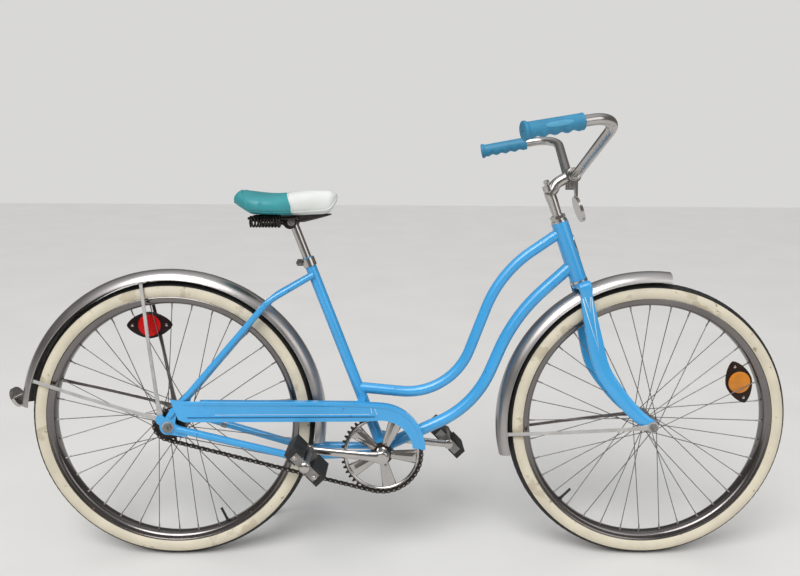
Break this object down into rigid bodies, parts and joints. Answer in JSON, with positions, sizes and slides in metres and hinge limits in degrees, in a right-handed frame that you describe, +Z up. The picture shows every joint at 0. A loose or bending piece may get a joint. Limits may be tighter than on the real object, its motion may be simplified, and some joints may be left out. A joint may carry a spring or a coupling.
{
  "type": "step-through cruiser bicycle",
  "caption": "Step-through cruiser bicycle with curved twin tubes, chrome fenders, coaster hub, chain guard, swept bar, sprung saddle and folding side stand.",
  "frame": {"origin": "on the floor, at the middle of the bounding box of the parked bicycle", "axes": "+X forward along the bicycle, +Y to the rider's left, the side it leans to on its stand, +Z up"},
  "size_m": [1.8296, 0.6421, 1.0426],
  "materials": {
    "sky_paint": "gloss enamel",
    "chrome": "bright plating, lightly worn",
    "plated_steel": "dull zinc plate",
    "dark_steel": "dark, oily",
    "red_lens": "ribbed lens",
    "red_plastic": "moulded",
    "amber_lens": "ribbed lens",
    "amber_plastic": "moulded",
    "clear_lens": "ribbed lens",
    "teal_vinyl": "soft vinyl",
    "white_vinyl": "soft vinyl",
    "blue_rubber": "moulded",
    "black_rubber": "moulded",
    "tyre": "worn tread",
    "cream_band": "aged cream rubber"
  },
  "bodies": {
    "frame": {"head_tube": "sky_paint", "top_tube": "sky_paint", "down_tube": "sky_paint", "seat_tube": "sky_paint", "bottom_bracket_shell": "sky_paint", "bracket_cups": "chrome", "left_seat_stay": "sky_paint", "right_seat_stay": "sky_paint", "seat_stay_bridge": "sky_paint", "left_chain_stay": "sky_paint", "right_chain_stay": "sky_paint", "rear_dropouts": "sky_paint", "rear_axle": "plated_steel", "seat_post": "chrome", "seat_clamp": "chrome", "rear_fender": "chrome", "rear_fender_stays": "plated_steel", "rear_reflector_body": "chrome", "rear_reflector_lens": "red_lens", "chain_guard": "sky_paint", "chain": "dark_steel", "brake_arm": "plated_steel", "kickstand_housing": "sky_paint", "saddle_back_cover": "teal_vinyl", "saddle_nose_cover": "white_vinyl", "saddle_chassis": "dark_steel", "headset_cups": "chrome"},
    "steering": {"fork": "sky_paint", "front_axle": "plated_steel", "front_fender": "chrome", "front_fender_stays": "plated_steel", "headset_nut": "chrome", "stem": "chrome", "handlebar": "chrome", "grips": "blue_rubber", "front_reflector_bracket": "chrome", "front_reflector_lens": "clear_lens"},
    "front_wheel": {"front_tyre": "tyre", "front_whitewall": "cream_band", "front_rim": "chrome", "front_hub": "plated_steel", "front_spokes": "plated_steel", "front_spoke_reflector": "amber_plastic", "front_spoke_lens": "amber_lens"},
    "rear_wheel": {"rear_tyre": "tyre", "rear_whitewall": "cream_band", "rear_rim": "chrome", "rear_hub": "plated_steel", "rear_spokes": "plated_steel", "rear_spoke_reflector": "red_plastic", "rear_spoke_lens": "red_lens"},
    "sprocket": {"rear_sprocket": "dark_steel"},
    "cranks": {"crank": "chrome", "chainring": "plated_steel"},
    "left_pedal": {"left_pedal_cage": "plated_steel", "left_pedal_rubbers": "black_rubber"},
    "right_pedal": {"right_pedal_cage": "plated_steel", "right_pedal_rubbers": "black_rubber"},
    "stand": {"kickstand": "chrome"}
  },
  "joints": [
    {"name": "steer", "type": "hinge", "parent": "frame", "child": "steering", "pos_m": [0.38352, -0.02571, 0.72911], "axis": [-0.342, 0.0982, 0.9345], "range_deg": [-75, 75]},
    {"name": "front_wheel_spin", "type": "hinge", "parent": "steering", "child": "front_wheel", "pos_m": [0.58, -0.06784, 0.32831], "axis": [0, 0.9945, -0.1045], "continuous": true},
    {"name": "rear_wheel_spin", "type": "hinge", "parent": "frame", "child": "rear_wheel", "pos_m": [-0.538, -0.06784, 0.32831], "axis": [0, 0.9945, -0.1045], "continuous": true},
    {"name": "crank_spin", "type": "hinge", "parent": "frame", "child": "cranks", "pos_m": [-0.048, -0.07495, 0.26069], "axis": [0, 0.9945, -0.1045], "continuous": true},
    {"name": "sprocket_spin", "type": "hinge", "parent": "frame", "child": "sprocket", "pos_m": [-0.538, -0.06784, 0.32831], "axis": [0, 0.9945, -0.1045], "continuous": true},
    {"name": "left_pedal_spin", "type": "hinge", "parent": "cranks", "child": "left_pedal", "pos_m": [0.116, 0.05245, 0.22909], "axis": [0, 0.9945, -0.1045], "continuous": true},
    {"name": "right_pedal_spin", "type": "hinge", "parent": "cranks", "child": "right_pedal", "pos_m": [-0.212, -0.20234, 0.29228], "axis": [0, 0.9945, -0.1045], "continuous": true},
    {"name": "stand_fold", "type": "hinge", "parent": "frame", "child": "stand", "pos_m": [-0.233, -0.0339, 0.21112], "axis": [0.0343, 0.9064, 0.421], "range_deg": [0, 63.86]}
  ],
  "couplings": [
    {"joint": "sprocket_spin", "follows": "crank_spin", "ratio": 2.5556}
  ]
}
